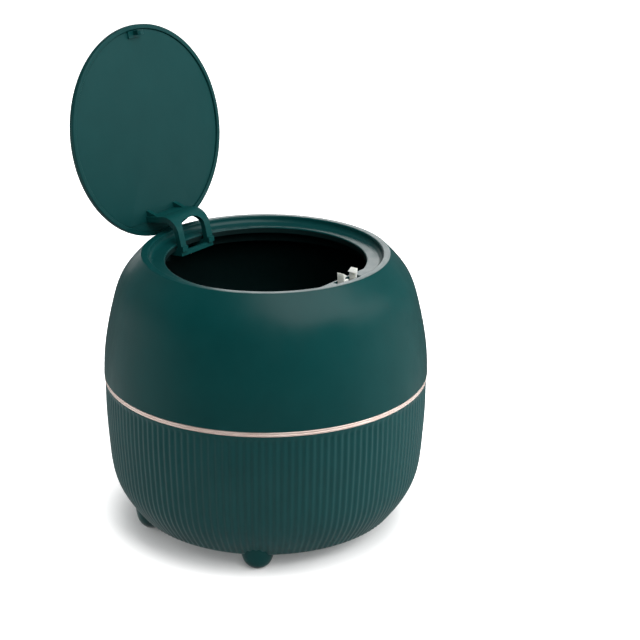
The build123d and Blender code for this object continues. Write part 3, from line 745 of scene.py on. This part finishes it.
def build_small_parts():
    """Seat ring, hinge, striker and latch with softened edges, and the plain steel parts."""
    # The seat ring's faces down the mouth take the near-black teal as painted shade
    softened("seat_ring", teal_ledge, bevel=0.1, painted_shade_material=teal_inside_painted_shade)
    # The bracket takes the lighter copy of the teal, as painted light
    softened("hinge_bracket", teal_hinge_painted_light, bevel=0.35)
    softened("striker", teal_ledge, bevel=0.15)
    softened("latch_slider", latch_white, bevel=0.12)
    softened("jaw_right", latch_white, bevel=0.15)
    softened("jaw_left", latch_white, bevel=0.15)
    softened("latch_housing", latch_dark, bevel=0.15)
    for node in (
        "seat_ring_screws", "bracket_screws", "hinge_pin", "pin_retainer", "hinge_spring",
        "jaw_pins", "latch_spring", "latch_cam_pin", "latch_screws",
    ):
        mesh = frame["nodes"][node].data
        mesh.materials.clear()
        mesh.materials.append(steel)


build_bucket()
build_feet()
build_band()
build_dome()
build_lid()
build_small_parts()

# Camera, floor and light, in metres. A heading is the cosine of the angle to the viewer's
# side, or for the room to the far side.
camera_place = Vector((-0.71889, -0.58528, 0.46174))
camera_ahead = Vector((0.74286, 0.5681, -0.35416)).normalized()
camera_roll = 0.51
viewer_side = (-0.794, -0.607, 0.0)
far_side = (0.794, 0.607, 0.0)
light_target = Vector((0.0, 0.0, 0.09))
floor_reach = 6.0
pale = (0.86, 0.86, 0.86, 1)
white = (1, 1, 1, 1)

# Strength of the floor's own white by distance from the axis, as the camera sees it. It is weak
# close to the axis, a painted shadow round the foot on top of the lamps' own, and full farther
# out, where it whitens the lamps' shadow away
painted_shadow_distances = (0.067, 0.104)
painted_shadow_glow = (0.12, 1.0)

# Strength of the floor and the room in reflections
front_headings = (0.3, 0.85)
front_glow = (1.0, 0.07)
back_headings = (-0.85, -0.3)
back_glow = (0.12, 0.6)
close_headings = (0.4, 0.95)
close_glow = (0.52, 0.28)
away_distances = (0.14, 0.24)
room_headings = (-0.35, 0.85)
room_glow = (0.03, 0.2)


def build_camera():
    """Camera at the photograph's viewpoint, turned a little about its own axis."""
    camera = bpy.data.objects.new("camera", bpy.data.cameras.new("camera"))
    bpy.context.scene.collection.objects.link(camera)
    camera.data.sensor_width = 36.0
    camera.data.lens = 106.54
    camera.data.clip_start = 0.05
    camera.data.clip_end = 20.0
    level = camera_ahead.cross(Vector((0, 0, 1))).normalized()
    upright = level.cross(camera_ahead)
    roll = math.radians(camera_roll)
    right = level * math.cos(roll) + upright * math.sin(roll)
    up = right.cross(camera_ahead)
    turn = Matrix((right, up, -camera_ahead)).transposed()
    camera.matrix_world = Matrix.Translation(camera_place) @ turn.to_4x4()
    bpy.context.scene.camera = camera


def vector_maths(tree, operation, source, other=None):
    """Outputs of a vector maths node."""
    node = tree.nodes.new("ShaderNodeVectorMath")
    node.operation = operation
    tree.links.new(source, node.inputs[0])
    if other:
        node.inputs[1].default_value = other
    return node.outputs


def maths(tree, operation, first, second):
    """Result of a maths node on two values."""
    node = tree.nodes.new("ShaderNodeMath")
    node.operation = operation
    tree.links.new(first, node.inputs[0])
    tree.links.new(second, node.inputs[1])
    return node.outputs["Value"]


def emission(tree, strength):
    """White glow whose strength follows a value."""
    node = tree.nodes.new("ShaderNodeEmission")
    tree.links.new(strength, node.inputs["Strength"])
    return node.outputs["Emission"]


def chosen(tree, factor, without, where):
    """One shader where the factor is nought, and the other where it is one."""
    node = tree.nodes.new("ShaderNodeMixShader")
    tree.links.new(factor, node.inputs["Fac"])
    tree.links.new(without, node.inputs[1])
    tree.links.new(where, node.inputs[2])
    return node.outputs["Shader"]


def ray_kinds(tree):
    """One for the camera's own rays, and one for rays from a mirror or through glass."""
    rays = tree.nodes.new("ShaderNodeLightPath").outputs
    shiny = maths(tree, "MAXIMUM", rays["Is Glossy Ray"], rays["Is Transmission Ray"])
    return rays["Is Camera Ray"], shiny


def build_stage():
    """Pale floor that keeps the shadow and runs into the backdrop's white."""
    size = floor_reach
    corners = [(-size, -size, 0), (size, -size, 0), (size, size, 0), (-size, size, 0)]
    mesh = bpy.data.meshes.new("floor")
    mesh.from_pydata(corners, [], [(0, 1, 2, 3)])
    floor = bpy.data.objects.new("floor", mesh)
    bpy.context.scene.collection.objects.link(floor)
    material, tree, shader = new_material("pale_floor")
    mesh.materials.append(material)
    shader.inputs["Base Color"].default_value = pale
    shader.inputs["Roughness"].default_value = 0.9
    shader.inputs["Specular IOR Level"].default_value = 0.1
    surface = shader.outputs["BSDF"]
    place = tree.nodes.new("ShaderNodeTexCoord").outputs["Object"]
    distance = vector_maths(tree, "LENGTH", place)["Value"]
    # The camera sees the backdrop's own white, which takes over from the shadow close by. Weaker
    # near the axis, it leaves a painted shadow round the foot as well as the lamps' shadow
    glow = emission(tree, ranged(tree, distance, painted_shadow_distances, painted_shadow_glow))
    lit = tree.nodes.new("ShaderNodeAddShader")
    tree.links.new(surface, lit.inputs[0])
    tree.links.new(glow, lit.inputs[1])
    # Reflections show the white too, dimmer towards the viewer and straight behind the object,
    # with a strength of its own close to the feet
    heading = vector_maths(tree, "NORMALIZE", place)["Vector"]
    towards = vector_maths(tree, "DOT_PRODUCT", heading, viewer_side)["Value"]
    before = ranged(tree, towards, front_headings, front_glow)
    behind = ranged(tree, towards, back_headings, back_glow)
    close = ranged(tree, towards, close_headings, close_glow)
    blend = tree.nodes.new("ShaderNodeMix")
    away = ranged(tree, distance, away_distances, (0.0, 1.0))
    tree.links.new(away, blend.inputs["Factor"])
    tree.links.new(close, blend.inputs["A"])
    tree.links.new(maths(tree, "MULTIPLY", before, behind), blend.inputs["B"])
    mirrored = emission(tree, blend.outputs["Result"])
    camera_ray, shiny_ray = ray_kinds(tree)
    seen = chosen(tree, camera_ray, surface, lit.outputs["Shader"])
    result = chosen(tree, shiny_ray, seen, mirrored)
    tree.links.new(result, tree.nodes["Material Output"].inputs["Surface"])


def build_world():
    """White behind the object as the camera sees it, and a dim room in reflections."""
    world = bpy.data.worlds.new("studio")
    bpy.context.scene.world = world
    world.use_nodes = True
    tree = world.node_tree
    # The lamps alone light the object, and the room only shows in its gloss
    ambient = tree.nodes["Background"]
    backdrop = tree.nodes.new("ShaderNodeBackground")
    room = tree.nodes.new("ShaderNodeBackground")
    for background, strength in ((ambient, 0.0), (backdrop, 1.0), (room, 1.0)):
        background.inputs["Color"].default_value = white
        background.inputs["Strength"].default_value = strength
    # The room is dim in front of the object and brighter behind it
    place = tree.nodes.new("ShaderNodeTexCoord").outputs["Generated"]
    along = vector_maths(tree, "DOT_PRODUCT", place, far_side)["Value"]
    tree.links.new(ranged(tree, along, room_headings, room_glow), room.inputs["Strength"])
    camera_ray, shiny_ray = ray_kinds(tree)
    unseen = chosen(
        tree, shiny_ray, ambient.outputs["Background"], room.outputs["Background"]
    )
    result = chosen(tree, camera_ray, unseen, backdrop.outputs["Background"])
    tree.links.new(result, tree.nodes["World Output"].inputs["Surface"])


def panel_light(name, place, width, height, power, in_gloss=False):
    """Area light that faces the object, and shows in reflections only where asked."""
    lamp = bpy.data.lights.new(name, "AREA")
    lamp.shape = "RECTANGLE"
    lamp.size = width
    lamp.size_y = height
    lamp.energy = power
    light = bpy.data.objects.new(name, lamp)
    bpy.context.scene.collection.objects.link(light)
    light.location = place
    aim = light_target - Vector(place)
    light.rotation_euler = aim.to_track_quat("-Z", "Y").to_euler()
    light.visible_glossy = in_gloss


def build_lights():
    """Softboxes that show in the gloss, and fills that don't. Left and right are the camera's."""
    panel_light("key_softbox", (0.02, -0.46, 0.87), 0.9, 0.9, 8.2, in_gloss=True)
    panel_light("right_window", (0.485, -0.765, 0.51), 0.7, 0.35, 1.4, in_gloss=True)
    panel_light("back_window", (0.97, 0.59, 0.49), 0.53, 0.42, 3.0, in_gloss=True)
    panel_light("far_window", (0.53, 0.84, 0.22), 0.42, 0.25, 0.5, in_gloss=True)
    panel_light("left_fill", (-0.34, 1.13, 0.30), 0.9, 0.9, 8.0)
    panel_light("right_fill", (0.95, -0.70, 0.30), 0.9, 0.9, 9.5)
    panel_light("left_low", (-0.5, 0.8, 0.14), 0.8, 0.24, 2.6)
    panel_light("right_low", (0.75, -0.62, 0.14), 0.8, 0.24, 2.2)
    panel_light("front_fill", (-0.55, -0.85, 0.98), 0.9, 0.9, 8.7)
    panel_light("top_fill", (0.0, 0.0, 1.3), 0.8, 0.8, 0.5)


bpy.context.scene.view_settings.view_transform = "Standard"
build_camera()
build_stage()
build_world()
build_lights()
